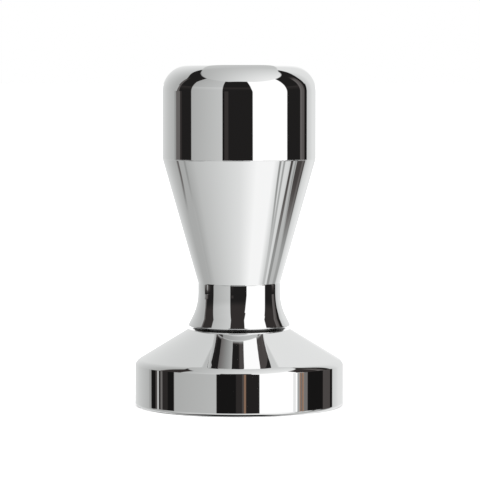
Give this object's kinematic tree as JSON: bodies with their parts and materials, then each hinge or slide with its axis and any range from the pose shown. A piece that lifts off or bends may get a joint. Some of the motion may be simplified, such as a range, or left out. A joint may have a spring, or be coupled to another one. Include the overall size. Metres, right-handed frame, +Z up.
{
  "type": "espresso tamper",
  "caption": "Polished metal espresso tamper: a flared base with a flat tamping face, and a waisted handle that unscrews from it.",
  "frame": {"origin": "centre of the flat tamping face", "axes": "+Z up along the tamper's own axis, from the tamping face to the top of the handle; the tamper is round, so +X and +Y are only fixed by the lock washer's slit, which is on +X"},
  "size_m": [0.058, 0.058, 0.0946],
  "materials": {
    "polished_steel": "polished",
    "polished_aluminium": "polished",
    "plain_steel": "satin",
    "spring_steel": "satin",
    "zinc_plate": "satin",
    "black_nitrile": "matte"
  },
  "bodies": {
    "base": {"tamping_base": "polished_steel"},
    "seal": {"base_seal_ring": "black_nitrile"},
    "handle": {"neck_ferrule": "polished_aluminium", "neck_o_ring": "black_nitrile", "grip_cone": "polished_aluminium", "cap_o_ring": "black_nitrile", "top_cap": "polished_aluminium", "tie_stud": "plain_steel", "plain_washer": "zinc_plate", "lock_washer": "spring_steel", "clamp_nut": "zinc_plate"}
  },
  "joints": [
    {"name": "handle_turn", "type": "hinge", "parent": "base", "child": "seal", "pos_m": [0, 0, 0.0215], "axis": [0, 0, 1], "range_deg": [0, 2880]},
    {"name": "handle_lift", "type": "slide", "parent": "seal", "child": "handle", "axis": [0, 0, 1], "range_m": [0, 0.01001]}
  ],
  "couplings": [
    {"joint": "handle_lift", "follows": "handle_turn", "m_per_rad": 0.00019894}
  ]
}
